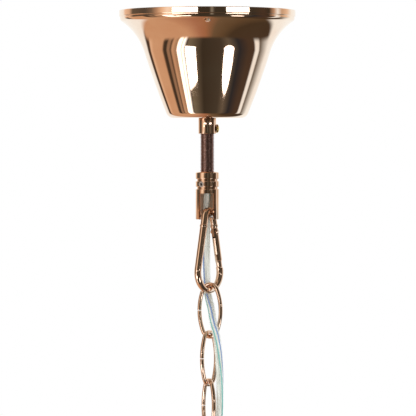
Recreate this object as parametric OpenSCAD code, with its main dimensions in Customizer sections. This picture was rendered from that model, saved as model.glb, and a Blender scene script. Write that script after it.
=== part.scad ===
// Ceiling suspension of a hanging lantern: bell canopy, threaded stem, hook coupling,
// pear shaped snap hook, chain and cable. Millimetres, +Z up.
// The ceiling is the plane z = 0, the stem's axis is the Z axis and everything hangs towards -Z.

/* [Canopy] */
// Outer diameter of the canopy's rim
canopy_d = 124; // [112:1:150]
// Height from the ceiling to the canopy's lower face
canopy_h = 75.6; // [62:0.1:92]
// Sheet thickness
canopy_t = 1; // [0.8:0.1:1.2]
// Height of the plain rim
rim_h = 4.6; // [4:0.1:6]
// Lean of the cone away from vertical, degrees
cone_lean = 19.5; // [15:0.5:22]

/* [Stem and collar] */
// Outer diameter of the threaded stem
stem_d = 10; // [9:0.5:12]
// Bore of the stem
stem_bore_d = 7.8; // [7:0.1:8]
// Length of stem seen between collar and coupling
stem_seen = 26.6; // [20:0.1:60]
// Wall of the collar round the stem
collar_wall = 1.25; // [1.05:0.05:2.5]
// Height of the collar
collar_h = 10.6; // [8:0.1:14]
// Shank diameter of the collar's screw
collar_screw_d = 3; // [2.5:0.5:4]

/* [Coupling] */
// Outer diameter of the coupling
coupling_d = 16.6; // [16.4:0.1:22]
// Length of the coupling
coupling_h = 33.3; // [31:0.1:45]
// Inner diameter of the coupling's hollow
coupling_bore_d = 13.9; // [13.8:0.1:14.2]
// Height of the window in the coupling's front
window_h = 18.2; // [17:0.1:19]
// Diameter of the set screw
set_screw_d = 4; // [3:1:5]
// Diameter of the cross pin
pin_d = 2.5; // [2:0.1:2.6]

/* [Snap hook] */
// Overall height of the snap hook
hook_h = 60.5; // [54:0.5:75]
// Diameter of its bar
bar_d = 5; // [4.6:0.1:5]
// Centre-line radius of the small upper bend
top_bend_r = 4.5; // [4.4:0.1:5]
// Centre-line radius of the wide lower bend
low_bend_r = 12.5; // [11:0.5:15]
// Turn of the hook's plane about the vertical, degrees
hook_turn = 52; // [50:1:55]
// Distance along the leg from the upper bend to the gate
gate_start = 8.7; // [8:0.1:11]
// Length of the gate
gate_len = 23; // [20:0.5:23]
// Diameter of the gate's rivet
rivet_d = 2; // [1.6:0.1:2.4]

/* [Chain] */
// Wire diameter of a link
link_wire = 3; // [2.5:0.1:3.2]
// Outer length of a link
link_len = 39.7; // [36:0.1:48]
// Outer width of a link
link_width = 20; // [19.5:0.5:22]
// Centre-line radius of a link's rounded ends
link_end_r = 6; // [5:0.5:7]
// Width of the gap at the closed joint of a link
link_gap = 0.3; // [0.2:0.1:0.6]

/* [Cable] */
// Outer diameter of the cable's clear jacket
cable_d = 5.5; // [4.8:0.1:5.5]
// Outer diameter of one insulated core
core_d = 2; // [1.6:0.1:2.2]

/* [Ceiling bracket] */
// Overall length of the strap
strap_len = 96; // [90:1:100]
// Width of the strap
strap_w = 20; // [20:1:26]
// Thickness of the strap
strap_t = 2; // [1.5:0.5:3]
// Drop of the strap's bridge below the ceiling
strap_drop = 26; // [26:1:30]
// Distance between the centres of the two slots
slot_spacing = 76; // [70:1:78]
// Width of a slot
slot_w = 5; // [4:0.5:6]
// Length of a slot, end to end
slot_len = 12; // [8:1:14]

/* [Hidden] */
$fn = 64;
slip = 0.05;          // radial clearance of a running fit
air = 0.15;           // clearance between pieces that hang in each other
eps = 0.01;

rim_r = canopy_d / 2;
rim_step = 0.6;       // how far the bell steps in below the rim
groove_h = 0.8;       // height of the groove under the rim
shoulder_r = 3.2;     // round shoulder under the rim
flare_r = 40;         // concave sweep below the shoulder
flare_lean = 56;      // lean from vertical where shoulder and sweep meet
foot_round = 6;       // round edge of the lower face
arc_steps = 8;
canopy_hole_r = stem_d / 2 + 0.4;
collar_d = stem_d + 2 * (slip + collar_wall);

collar_z = -canopy_h;                       // upper face of the collar
coupling_z = collar_z - collar_h - stem_seen; // upper face of the coupling
stem_in = 11;                               // stem inside the coupling
stem_top_z = -13;
stem_end_z = coupling_z - stem_in;
coupling_end_z = coupling_z - coupling_h;
window_left = 44.6;                         // window's edges, degrees from the front
window_right = 34.2;
set_screw_z = coupling_z - 8.7;
set_screw_side = 32;                        // degrees to the left of the front
groove_w = 1.3;
groove_deep = 0.9;
groove_one = 5.7;                           // groove centres below the upper face
groove_two = 11.2;

// The hook's plane stands on the pin: local X runs across the hook, local Z is up.
hook_x = 1.1;
hook_y = -3;
pin_turn = -19;
pin_z = coupling_end_z + 2.3;
pin_r = pin_d / 2;
hook_top = pin_z + pin_r + air + bar_d;     // top of the hook's outline
top_bend_z = hook_top - bar_d / 2 - top_bend_r;
low_bend_z = hook_top - hook_h + bar_d / 2 + low_bend_r;
leg_lean = asin((low_bend_r - top_bend_r) / (top_bend_z - low_bend_z));
bar_r = bar_d / 2;
rivet_at = gate_start + bar_r + 0.2;        // distances along the leg
gate_end = gate_start + gate_len;
tongue_t = 2;
rivet_head_r = 1.55;
rivet_face = bar_r - 0.35;                  // flat under each rivet head, from the plane
tongue_reach = 3.9;
tongue_r = bar_r - 0.1;
latch_at = gate_end - 2.2;
latch_r = 0.7;
latch_reach = 4.2;     // length of the nose's tongue inside the gate
end_air = 0.3;         // space between gate and nose
plunger_r = 1;
spring_len = 6;

// Chain: each link hangs on the bar or wire above it, its centre in line with that wire.
wire_r = link_wire / 2;
link_r = link_width / 2 - wire_r;           // centre-line half width and half length
link_half = link_len / 2 - wire_r;
hook_bar_z = hook_top - hook_h + bar_r;
link_turns = [-30, 55, -65];
link_places = [[1.9, -2.1], [1.2, -1.7], [0.95, -2.05]];
link_top_one = hook_bar_z + bar_r + air + wire_r;
link_air = 0.3;         // the same between two links, which cross at a slant
link_pitch = link_len - link_wire - link_wire - link_air;
function link_mid_z(i) = link_top_one - i * link_pitch - link_half;

// The cable's own route from the cord grip down to the connector.
cable_route = [
    [0, 0, -8], [0, 0, -20], [0, 0, -40], [0, 0, -60], [0, 0, -80], [0, 0, -100],
    [0, 0, -115], [0, 0.6, -122], [-0.2, 2.8, -130], [-0.6, 4, -137], [-0.6, 4.1, -147],
    [-0.5, 4.3, -160], [-0.5, 4.6, -175], [-0.3, 4.8, -187], [0, 4.6, -194.5], [1.1, 2.2, -201],
    [2.2, -1.6, -206], [3.1, -4.9, -210.5], [3.7, -7.4, -215], [4.5, -9, -219.5], [5.7, -10, -224],
    [6.8, -10.5, -230], [7.6, -10.2, -237], [8.2, -9.2, -246], [8.6, -7.8, -256], [8.6, -6.2, -268],
    [8.3, -4.9, -280], [7.2, -3.7, -292], [5, -2.9, -302], [2.2, -2.4, -309], [0.7, -2.3, -315],
    [0.6, -2.3, -320], [0.6, -2.3, -326]
];
cable_steps = 2;
cable_end = cable_route[len(cable_route) - 1];
connector_top_z = cable_end[2] + 6;

// ---------- shared shapes ----------

module ring(r_out, r_in, z_low, z_high) {
    translate([0, 0, z_low]) difference() {
        cylinder(r = r_out, h = z_high - z_low);
        translate([0, 0, -1]) cylinder(r = r_in, h = z_high - z_low + 2);
    }
}

// Hexagon nut across flats af, on the Z axis
module hex_nut(af, r_in, z_low, z_high) {
    translate([0, 0, z_low]) difference() {
        intersection() {
            cylinder(r = af / 2 / cos(30), h = z_high - z_low, $fn = 6);
            cylinder(r1 = af / 2 + 0.35, r2 = af / 2 + 6, h = z_high - z_low + 3);
        }
        translate([0, 0, -1]) cylinder(r = r_in, h = z_high - z_low + 2);
    }
}

// Slotted screw along +Z with its head's underside at z = 0
module slotted_screw(r_shank, length, r_head, h_head) {
    difference() {
        union() {
            translate([0, 0, -length]) cylinder(r = r_shank, h = length);
            cylinder(r = r_head, h = h_head * 0.55);
            translate([0, 0, h_head * 0.55]) cylinder(r1 = r_head, r2 = r_head * 0.72, h = h_head * 0.45);
        }
        translate([-r_head - 1, -0.35, h_head * 0.5]) cube([2 * r_head + 2, 0.7, h_head]);
    }
}

// ---------- sweeping a round tube along a route ----------

function unit(v) = v / norm(v);
function hermite(p0, p1, p2, p3, t) =
    0.5 * ((2 * p1) + (p2 - p0) * t + (2 * p0 - 5 * p1 + 4 * p2 - p3) * t * t
    + (3 * p1 - p0 - 3 * p2 + p3) * t * t * t);
function route_point(route, i) = route[max(0, min(len(route) - 1, i))];
function smooth_route(route, steps) = concat(
    [for (i = [0 : len(route) - 2], k = [0 : steps - 1])
        hermite(route_point(route, i - 1), route[i], route[i + 1], route_point(route, i + 2), k / steps)],
    [route[len(route) - 1]]);
function heading(path, i) =
    i == 0 ? unit(path[1] - path[0]) :
    i == len(path) - 1 ? unit(path[i] - path[i - 1]) : unit(path[i + 1] - path[i - 1]);
// The first spoke of each ring is the last ring's spoke, squared to the new heading, so no ring twists
function squared(spoke, along) = unit(spoke - (spoke * along) * along);
function tube_ring(centre, along, spoke, r, sides) = [for (k = [0 : sides - 1])
    centre + r * (cos(360 * k / sides) * spoke + sin(360 * k / sides) * cross(along, spoke))];

module sweep(path, r, sides) {
    n = len(path);
    spokes = [for (i = 0, spoke = squared([0, 1, 0], heading(path, 0)); i < n;
        i = i + 1, spoke = squared(spoke, heading(path, min(i, n - 1)))) spoke];
    points = [for (i = [0 : n - 1]) each tube_ring(path[i], heading(path, i), spokes[i], r, sides)];
    walls = [for (i = [0 : n - 2], k = [0 : sides - 1])
        [(i + 1) * sides + k, (i + 1) * sides + (k + 1) % sides, i * sides + (k + 1) % sides, i * sides + k]];
    caps = [[for (k = [0 : sides - 1]) k], [for (k = [sides - 1 : -1 : 0]) (n - 1) * sides + k]];
    polyhedron(points = points, faces = concat(walls, caps), convexity = 6);
}
module tube(route, r, sides, steps) sweep(smooth_route(route, steps), r, sides);

// ---------- ceiling fixing ----------

strap_foot = 18;                                   // length of each foot on the ceiling
bridge_half = strap_len / 2 - strap_foot;          // half length of the bridge
bridge_z = -strap_drop;                            // lower face of the bridge
terminal_w = 15;
terminal_l = 28;
terminal_h = 12;
terminal_x = stem_d / 2 + 6 + terminal_w / 2;
terminal_z = bridge_z - terminal_h;
terminal_pitch = 9;
sleeve_z = terminal_z + 5.2;
sleeve_r = 2.4;
sleeve_bore_r = core_d / 2 + 0.1;
earth_x = -18;
fixing_r = 1.5;
earth_r = 2;

module ceiling_bracket() color("silver") difference() {
    rotate([90, 0, 0]) translate([0, 0, -strap_w / 2]) linear_extrude(strap_w) polygon([
        [-strap_len / 2, 0], [-bridge_half, 0], [-bridge_half, bridge_z + strap_t],
        [bridge_half, bridge_z + strap_t], [bridge_half, 0], [strap_len / 2, 0],
        [strap_len / 2, -strap_t], [bridge_half + strap_t, -strap_t], [bridge_half + strap_t, bridge_z],
        [-bridge_half - strap_t, bridge_z], [-bridge_half - strap_t, -strap_t], [-strap_len / 2, -strap_t]
    ]);
    for (side = [-1, 1], end = [-1, 1])
        translate([side * slot_spacing / 2 + end * (slot_len - slot_w) / 2, 0, -strap_t - 1])
            cylinder(d = slot_w, h = strap_t + 2);
    for (side = [-1, 1])
        translate([side * slot_spacing / 2 - (slot_len - slot_w) / 2, -slot_w / 2, -strap_t - 1])
            cube([slot_len - slot_w, slot_w, strap_t + 2]);
    translate([0, 0, bridge_z - 1]) cylinder(r = stem_d / 2 + slip, h = strap_t + 2);
    translate([terminal_x, 0, bridge_z - 1]) cylinder(r = fixing_r + slip, h = strap_t + 2);
    translate([earth_x, 0, bridge_z - 1]) cylinder(r = earth_r + slip, h = strap_t + 2);
}

module stem() color("peru")
    ring(stem_d / 2, stem_bore_d / 2, stem_end_z, stem_top_z);

nut_h = 3;
washer_t = 0.8;
module stem_top_nut() color("silver")
    hex_nut(stem_d + 4, stem_d / 2 + slip, bridge_z + strap_t, bridge_z + strap_t + nut_h);
module lock_washer() color("silver")
    ring(stem_d / 2 + 3.5, stem_d / 2 + 0.1, bridge_z - washer_t, bridge_z);
module stem_lock_nut() color("silver")
    hex_nut(stem_d + 4, stem_d / 2 + slip, bridge_z - washer_t - nut_h, bridge_z - washer_t);

grip_low = bridge_z + strap_t + nut_h + 0.5;
grip_high = -7;
grip_r = stem_d / 2 + 2.4;
grip_screw_z = -10;
module cord_grip() color("whitesmoke") difference() {
    ring(grip_r, cable_d / 2 + 0.2, grip_low, grip_high);
    translate([0, 0, grip_low - 1]) cylinder(r = stem_d / 2 + slip, h = stem_top_z - grip_low + 1.2);
    translate([0, 0, grip_screw_z]) rotate([0, -90, 0]) cylinder(r = fixing_r + slip, h = grip_r + 2);
}
module cord_grip_screw() color("whitesmoke")
    translate([-grip_r, 0, grip_screw_z]) rotate([0, -90, 0])
        slotted_screw(fixing_r, grip_r - cable_d / 2 - 0.1, 2.6, 2);

module at_terminals() for (i = [-1 : 1]) translate([terminal_x, i * terminal_pitch, 0]) children();

module terminal_housing() color("white") difference() {
    translate([terminal_x - terminal_w / 2, -terminal_l / 2, terminal_z])
        cube([terminal_w, terminal_l, terminal_h]);
    at_terminals() translate([-terminal_w / 2 - 1, 0, sleeve_z]) rotate([0, 90, 0])
        cylinder(r = sleeve_r + slip, h = terminal_w + 2);
    at_terminals() for (s = [-1, 1]) translate([s * 3.5, 0, terminal_z - 1]) cylinder(r = 1.75, h = 6);
    translate([terminal_x, 0, bridge_z - terminal_h * 0.3])
        cylinder(r = fixing_r, h = terminal_h);
}
module terminal_sleeves() color("goldenrod")
    at_terminals() translate([0, 0, sleeve_z]) difference() {
        rotate([0, 90, 0]) translate([0, 0, -terminal_w / 2 + 1])
            cylinder(r = sleeve_r, h = terminal_w - 2);
        rotate([0, 90, 0]) translate([0, 0, -terminal_w / 2]) cylinder(r = sleeve_bore_r, h = terminal_w);
        for (s = [-1, 1]) translate([s * 3.5, 0, -sleeve_r - 1]) cylinder(r = 1.3, h = sleeve_r);
    }
module terminal_screws() color("silver")
    at_terminals() for (s = [-1, 1]) translate([s * 3.5, 0, terminal_z + 2])
        rotate([180, 0, 0]) slotted_screw(1.25, sleeve_z - sleeve_bore_r - terminal_z - 2.05, 1.6, 1.4);
module terminal_fixing_screw() color("silver")
    translate([terminal_x, 0, bridge_z + strap_t]) slotted_screw(fixing_r, strap_t + 3.4, 2.8, 2);

module earth_screw() color("goldenrod")
    translate([earth_x, 0, bridge_z + strap_t + washer_t]) slotted_screw(earth_r, strap_t + washer_t + 5, 3.8, 2.6);
module earth_washer() color("silver")
    translate([earth_x, 0, 0]) ring(4.5, earth_r + slip, bridge_z + strap_t, bridge_z + strap_t + washer_t);
module earth_nut() color("silver")
    translate([earth_x, 0, 0]) hex_nut(7, earth_r + slip, bridge_z - 3.2, bridge_z);

// Cores: each leaves the grip, bends over the strap's edge and enters its sleeve from outside
core_enter_x = terminal_x + terminal_w / 2 - 1;
core_routes = [
    [[0.6, -1.1, -8], [0.6, -1.1, -6.5], [1, -1.8, -4.8], [4, -5.5, -3.4], [12, -13, -5], [22, -16, -14],
     [29, -15, -26], [30, -10.6, sleeve_z], [27.5, -terminal_pitch, sleeve_z],
     [core_enter_x, -terminal_pitch, sleeve_z]],
    [[0.6, 1.1, -8], [0.6, 1.1, -6.5], [1, 1.8, -4.8], [4, 5.5, -3.4], [12, 13, -5], [22, 16, -14],
     [29, 15, -26], [30, 10.6, sleeve_z], [27.5, terminal_pitch, sleeve_z],
     [core_enter_x, terminal_pitch, sleeve_z]],
    [[-1.2, 0, -8], [-1.2, 0, -6.5], [-1.8, 0.7, -4.8], [-5, 6, -3.6], [-6, 13, -8], [0, 15.6, -20],
     [5, 11, -31], [7.6, 3, sleeve_z], [10, 0, sleeve_z], [terminal_x - terminal_w / 2 + 1, 0, sleeve_z]]
];
module core(i) tube(core_routes[i], core_d / 2, 8, 3);
module core_live() color("saddlebrown") core(0);
module core_neutral() color("steelblue") core(1);
module core_earth() color("yellowgreen") core(2);

// ---------- canopy ----------

// Points on an arc of signed radius between two leans; positive bulges outwards
function arc_from(start, r, lean_a, lean_b, steps) = [for (k = [1 : steps])
    let (lean = lean_a + (lean_b - lean_a) * k / steps, s = lean_b > lean_a ? 1 : -1)
    [start[0] - s * r * (cos(lean_a) - cos(lean)), start[1] - s * r * (sin(lean) - sin(lean_a))]];

// Outline of the bell's side, moved inwards by off, from the shoulder down to the lower face
function bell_side(off) =
    let (start = [rim_r - rim_step - off, -rim_h - groove_h],
         shoulder = arc_from(start, shoulder_r - off, 0, flare_lean, arc_steps),
         sweep_from = shoulder[arc_steps - 1],
         sweep = arc_from(sweep_from, flare_r + off, flare_lean, cone_lean, 2 * arc_steps),
         cone_from = sweep[2 * arc_steps - 1],
         foot_z = -canopy_h + foot_round * (1 - sin(cone_lean)) + off * sin(cone_lean),
         cone_end = [cone_from[0] - (cone_from[1] - foot_z) * tan(cone_lean), foot_z],
         foot = arc_from(cone_end, foot_round - off, cone_lean, 90, arc_steps))
    concat([start], shoulder, sweep, [cone_end], foot);
function reversed(list) = [for (i = [len(list) - 1 : -1 : 0]) list[i]];

module canopy() color("peru") rotate_extrude($fn = 180) polygon(concat(
    [[rim_r - canopy_t, 0], [rim_r, 0], [rim_r, -rim_h + 0.5], [rim_r - 0.15, -rim_h + 0.15],
     [rim_r - 0.5, -rim_h], [rim_r - rim_step, -rim_h]],
    bell_side(0),
    [[canopy_hole_r, -canopy_h], [canopy_hole_r, -canopy_h + canopy_t]],
    reversed(bell_side(canopy_t)),
    [[rim_r - rim_step - canopy_t, -rim_h + 0.6], [rim_r - canopy_t, -rim_h + 1.2]]));

// ---------- collar ----------

collar_screw_z = collar_z - 6.9;
collar_screw_r = collar_screw_d / 2;
module collar() color("peru") difference() {
    rotate_extrude() polygon([
        [stem_d / 2 + slip, collar_z], [collar_d / 2 - 0.4, collar_z], [collar_d / 2, collar_z - 0.4],
        [collar_d / 2, collar_z - collar_h + 0.4], [collar_d / 2 - 0.4, collar_z - collar_h],
        [stem_d / 2 + slip, collar_z - collar_h]]);
    translate([0, 0, collar_screw_z]) rotate([0, 90, 0]) cylinder(r = collar_screw_r + slip, h = collar_d);
}
module collar_screw() color("gold")
    translate([collar_d / 2 + 0.05, 0, collar_screw_z]) rotate([0, 90, 0])
        slotted_screw(collar_screw_r, (collar_d - stem_d) / 2 - 0.02, 2 * collar_screw_r, 2);

// ---------- coupling ----------

function down(z) = coupling_z - z;
function ring_groove(z) = let (r = coupling_d / 2, w = groove_w / 2, e = 0.3)
    [[r, down(z - w - e)], [r - e, down(z - w)], [r - groove_deep, down(z - w)],
     [r - groove_deep, down(z + w)], [r - e, down(z + w)], [r, down(z + w + e)]];

module coupling_blank() rotate_extrude() polygon(concat(
    [[stem_d / 2 + slip, down(0)], [coupling_d / 2 - 0.8, down(0)], [coupling_d / 2, down(0.7)]],
    ring_groove(groove_one), ring_groove(groove_two),
    [[coupling_d / 2, coupling_end_z + 0.6], [coupling_d / 2 - 0.5, coupling_end_z],
     [coupling_bore_d / 2, coupling_end_z], [coupling_bore_d / 2, stem_end_z - 1],
     [stem_d / 2 + slip, stem_end_z - 1]]));

module window_cut() {
    far = coupling_d;
    translate([0, 0, coupling_end_z - 1]) linear_extrude(window_h + 1) polygon([
        [0, 0], [-far * sin(window_left), -far * cos(window_left)],
        [0, -far * 1.5], [far * sin(window_right), -far * cos(window_right)]]);
}

module along_pin(r, half) translate([hook_x, hook_y, pin_z]) rotate([0, 0, pin_turn])
    translate([-half[0], 0, 0]) rotate([0, 90, 0]) cylinder(r = r, h = half[0] + half[1]);

module set_screw_hole(r, from, to)
    translate([0, 0, set_screw_z]) rotate([0, 0, -90 - set_screw_side]) translate([from, 0, 0])
        rotate([0, 90, 0]) cylinder(r = r, h = to - from);

module hook_coupling() color("peru") difference() {
    coupling_blank();
    window_cut();
    set_screw_hole(set_screw_d / 2 + slip, 0, coupling_d);
    along_pin(pin_r, [coupling_d, coupling_d]);
}
module coupling_set_screw() color("silver") difference() {
    set_screw_hole(set_screw_d / 2, stem_d / 2 + 0.02, coupling_d / 2 - 0.35);
    translate([0, 0, set_screw_z]) rotate([0, 0, -90 - set_screw_side])
        translate([coupling_d / 2 - 1.9, 0, 0]) rotate([0, 90, 0])
            cylinder(r = set_screw_d / 4 / cos(30), h = 3, $fn = 6);
}
// Distances from the pin's middle to the coupling's wall, a little short of the outer face
pin_along = hook_x * cos(pin_turn) + hook_y * sin(pin_turn);
pin_aside = hook_y * cos(pin_turn) - hook_x * sin(pin_turn);
pin_reach = sqrt(pow(coupling_d / 2 - 0.1, 2) - pow(abs(pin_aside) + pin_r, 2));
module cross_pin() color("silver")
    along_pin(pin_r, [pin_reach + pin_along, pin_reach - pin_along]);

// ---------- snap hook ----------

module on_hook() translate([hook_x, hook_y, top_bend_z]) rotate([0, 0, hook_turn]) children();

// Centre line of the bar: from the nose round the low bend, up the plain leg and over the upper bend
function on_arc(x, z, r, a) = [x + r * cos(a), 0, z + r * sin(a)];
function leg_point(d) = on_arc(0, 0, top_bend_r, leg_lean) + d * [sin(leg_lean), 0, -cos(leg_lean)];
low_bend_drop = low_bend_z - top_bend_z;
low_steps = 26;
top_steps = 16;
hook_path = concat([leg_point(gate_end + end_air)],
    [for (k = [0 : low_steps]) on_arc(0, low_bend_drop, low_bend_r, leg_lean - k / low_steps * (180 + 2 * leg_lean))],
    [for (k = [0 : top_steps]) on_arc(0, 0, top_bend_r, 180 - leg_lean - k / top_steps * (180 - 2 * leg_lean))],
    [leg_point(gate_start)]);

// Frame on a leg: local Z runs down the leg from the upper bend, side is -1 or 1
module on_leg(side) translate([side * top_bend_r * cos(leg_lean), 0, top_bend_r * sin(leg_lean)])
    mirror([side < 0 ? 1 : 0, 0, 0]) rotate([0, 180 - leg_lean, 0]) children();

module leg_bar(from, to, r = bar_r) translate([0, 0, from]) cylinder(r = r, h = to - from, $fn = 48);
module slab(t, from, to) translate([-bar_d, -t / 2, from]) cube([2 * bar_d, t, to - from]);
module across(r, at, half) translate([0, 0, at]) rotate([90, 0, 0]) cylinder(r = r, h = 2 * half, center = true);

// The two tongues that reach into the gate: flat, round-ended at the rivet, notched at the nose
module hinge_tongue() intersection() {
    leg_bar(gate_start - 1, rivet_at + tongue_reach, tongue_r);
    slab(tongue_t, gate_start - 2, rivet_at + tongue_reach);
    across(tongue_reach, rivet_at, bar_d);
}
module nose_tongue() intersection() {
    leg_bar(gate_end - latch_reach, gate_end + end_air + 1, tongue_r);
    slab(tongue_t, gate_end - latch_reach - 1, gate_end + end_air + 2);
}

module carabiner_body() color("peru") on_hook() difference() {
    union() {
        sweep(hook_path, bar_r, 24);
        on_leg(1) hinge_tongue();
        on_leg(1) nose_tongue();
    }
    on_leg(1) {
        across(rivet_d / 2 + eps, rivet_at, bar_d);
        translate([-latch_r - air, -bar_d, latch_at - latch_r - air])
            cube([2 * bar_d, 2 * bar_d, 2 * (latch_r + air)]);
    }
}

module gate_rivet() color("peru") on_hook() on_leg(1) {
    across(rivet_d / 2, rivet_at, rivet_face + 0.5);
    for (s = [-1, 1]) translate([0, 0, rivet_at]) rotate([s * 90, 0, 0]) {
        translate([0, 0, rivet_face + 0.02]) cylinder(r = rivet_head_r, h = 0.5);
        translate([0, 0, rivet_face + 0.52]) cylinder(r1 = rivet_head_r, r2 = rivet_head_r * 0.6, h = 0.45);
    }
}

slot_t = tongue_t + 0.2;
module carabiner_gate() color("peru") on_hook() on_leg(1) difference() {
    union() {
        leg_bar(rivet_at, gate_end);
        intersection() {
            leg_bar(gate_start, rivet_at);
            across(bar_r, rivet_at, bar_d);
        }
    }
    slab(slot_t, gate_start - 1, rivet_at + tongue_reach + 0.2);
    slab(slot_t, gate_end - latch_reach - 0.3, gate_end + 1);
    across(rivet_d / 2 + slip, rivet_at, bar_d);
    for (s = [-1, 1]) translate([0, 0, rivet_at]) rotate([s * 90, 0, 0]) translate([0, 0, rivet_face])
        cylinder(r = rivet_head_r + 0.25, h = bar_d);
    across(latch_r, latch_at, bar_r - 0.4);
    translate([0, 0, rivet_at + tongue_reach]) cylinder(r = plunger_r + slip, h = spring_len + 1.7);
}
module gate_latch_pin() color("silver") on_hook() on_leg(1) across(latch_r, latch_at, bar_r - 0.45);
module gate_plunger() color("silver") on_hook() on_leg(1)
    translate([0, 0, rivet_at + tongue_reach + 0.05]) cylinder(r = plunger_r, h = 1.5);
module gate_spring() color("silver") on_hook() on_leg(1)
    translate([0, 0, rivet_at + tongue_reach + 1.6]) difference() {
        cylinder(r = plunger_r - 0.1, h = spring_len);
        translate([0, 0, -1]) cylinder(r = plunger_r - 0.45, h = spring_len + 2);
    }

// ---------- chain ----------

// A link is an oval of four arcs: two small ends and two long sides, each running into the next
link_end_z = link_half - link_end_r;
link_side_r = (link_r * link_r + link_end_z * link_end_z - link_end_r * link_end_r)
    / (2 * (link_r - link_end_r));
link_side_x = link_side_r - link_r;
link_side_a = atan2(link_end_z, link_side_x);

link_gap_a = asin(link_gap / 2 / link_side_r);
side_steps = 4;
end_steps = 14;
// Centre line from the top of the gap, over the upper end, down the plain side and back up to the gap
link_path = concat(
    [for (k = [0 : side_steps])
        on_arc(link_side_x, 0, link_side_r, 180 - link_gap_a - k / side_steps * (link_side_a - link_gap_a))],
    [for (k = [1 : end_steps])
        on_arc(0, link_end_z, link_end_r, 180 - link_side_a - k / end_steps * (180 - 2 * link_side_a))],
    [for (k = [1 : 2 * side_steps])
        on_arc(-link_side_x, 0, link_side_r, link_side_a * (1 - k / side_steps))],
    [for (k = [1 : end_steps])
        on_arc(0, -link_end_z, link_end_r, -link_side_a - k / end_steps * (180 - 2 * link_side_a))],
    [for (k = [1 : side_steps])
        on_arc(link_side_x, 0, link_side_r, 180 + link_side_a - k / side_steps * (link_side_a - link_gap_a))]);

module chain_link(i) color("peru")
    translate([link_places[i][0], link_places[i][1], link_mid_z(i)]) rotate([0, 0, link_turns[i]])
        sweep(link_path, wire_r, 20);
module chain_link_1() chain_link(0);
module chain_link_2() chain_link(1);
module chain_link_3() chain_link(2);

// ---------- cable and its lower connector ----------

module cable() color("gainsboro") tube(cable_route, cable_d / 2, 10, cable_steps);

connector_r = 8;
connector_h = 24;
contact_ring = 3.6;
module at_cable_end() translate([cable_end[0], cable_end[1], 0]) children();
module gland_nut() color("gainsboro") at_cable_end() difference() {
    union() {
        translate([0, 0, connector_top_z]) cylinder(r = 5.6, h = 3, $fn = 32);
        translate([0, 0, connector_top_z - 4]) cylinder(r = 4.4, h = 4);
    }
    translate([0, 0, connector_top_z - 6]) cylinder(r = cable_d / 2 + 0.25, h = 10);
}
module connector_body() color("whitesmoke") at_cable_end() difference() {
    translate([0, 0, connector_top_z - connector_h]) cylinder(r = connector_r, h = connector_h);
    translate([0, 0, connector_top_z - 8]) cylinder(r = 4.4 + slip, h = 9);
    for (a = [0, 120, 240]) rotate([0, 0, a]) translate([contact_ring, 0, connector_top_z - connector_h - 1])
        cylinder(r = 1.6 + slip, h = connector_h - 8);
}
module connector_contacts() color("goldenrod") at_cable_end()
    for (a = [0, 120, 240]) rotate([0, 0, a]) translate([contact_ring, 0, connector_top_z - connector_h + 0.5])
        difference() {
            cylinder(r = 1.6, h = connector_h - 9.5);
            translate([0, 0, -1]) cylinder(r = 1.05, h = 9);
        }

ceiling_bracket();
stem();
stem_top_nut();
stem_lock_nut();
lock_washer();
cord_grip();
cord_grip_screw();
terminal_housing();
terminal_sleeves();
terminal_screws();
terminal_fixing_screw();
earth_screw();
earth_washer();
earth_nut();
core_live();
core_neutral();
core_earth();
canopy();
collar();
collar_screw();
hook_coupling();
coupling_set_screw();
cross_pin();
carabiner_body();
gate_rivet();
carabiner_gate();
gate_latch_pin();
gate_spring();
gate_plunger();
chain_link_1();
chain_link_2();
chain_link_3();
cable();
connector_body();
gland_nut();
connector_contacts();
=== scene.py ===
import bpy
import bmesh
import math
from mathutils import Matrix, Vector


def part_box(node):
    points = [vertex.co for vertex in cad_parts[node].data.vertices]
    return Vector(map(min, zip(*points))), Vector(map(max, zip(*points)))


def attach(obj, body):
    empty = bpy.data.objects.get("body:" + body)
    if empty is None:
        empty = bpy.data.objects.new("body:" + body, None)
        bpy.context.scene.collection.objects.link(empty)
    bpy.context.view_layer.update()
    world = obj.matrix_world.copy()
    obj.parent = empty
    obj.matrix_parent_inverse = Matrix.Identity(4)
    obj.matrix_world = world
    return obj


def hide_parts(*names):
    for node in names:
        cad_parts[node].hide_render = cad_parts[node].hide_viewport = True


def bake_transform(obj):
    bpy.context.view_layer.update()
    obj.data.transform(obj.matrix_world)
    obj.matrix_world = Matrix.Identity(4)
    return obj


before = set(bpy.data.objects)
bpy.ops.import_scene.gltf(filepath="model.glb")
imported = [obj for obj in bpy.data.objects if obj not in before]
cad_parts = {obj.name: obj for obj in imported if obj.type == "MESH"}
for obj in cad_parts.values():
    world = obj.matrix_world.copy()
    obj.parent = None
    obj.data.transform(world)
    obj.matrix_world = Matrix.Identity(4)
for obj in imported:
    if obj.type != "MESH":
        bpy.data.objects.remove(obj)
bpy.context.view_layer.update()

MM = 0.001
UP = Vector((0, 0, 1))
scene = bpy.context.scene


def mm(*values):
    """A point given in millimetres, as a vector in metres."""
    return Vector([v * MM for v in values])


def low_high(node):
    """Lowest and highest corner of a CAD node, in millimetres."""
    low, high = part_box(node)
    return Vector(low) / MM, Vector(high) / MM


# ---------------------------------------------------------------- camera

EYE_Z = -0.138          # height of the eye below the ceiling
EYE_DISTANCE = 2.8
LENS = 346.6
SENSOR = 36

camera_data = bpy.data.cameras.new("camera")
camera_data.lens = LENS
camera_data.sensor_width = SENSOR
camera_data.clip_start = 0.05
camera_data.clip_end = 50
camera = bpy.data.objects.new("camera", camera_data)
camera.location = (0.0005, -EYE_DISTANCE, EYE_Z)
camera.rotation_euler = (math.radians(90), 0, 0)
scene.collection.objects.link(camera)
scene.camera = camera


# ---------------------------------------------------------------- sizes, in millimetres

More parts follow.
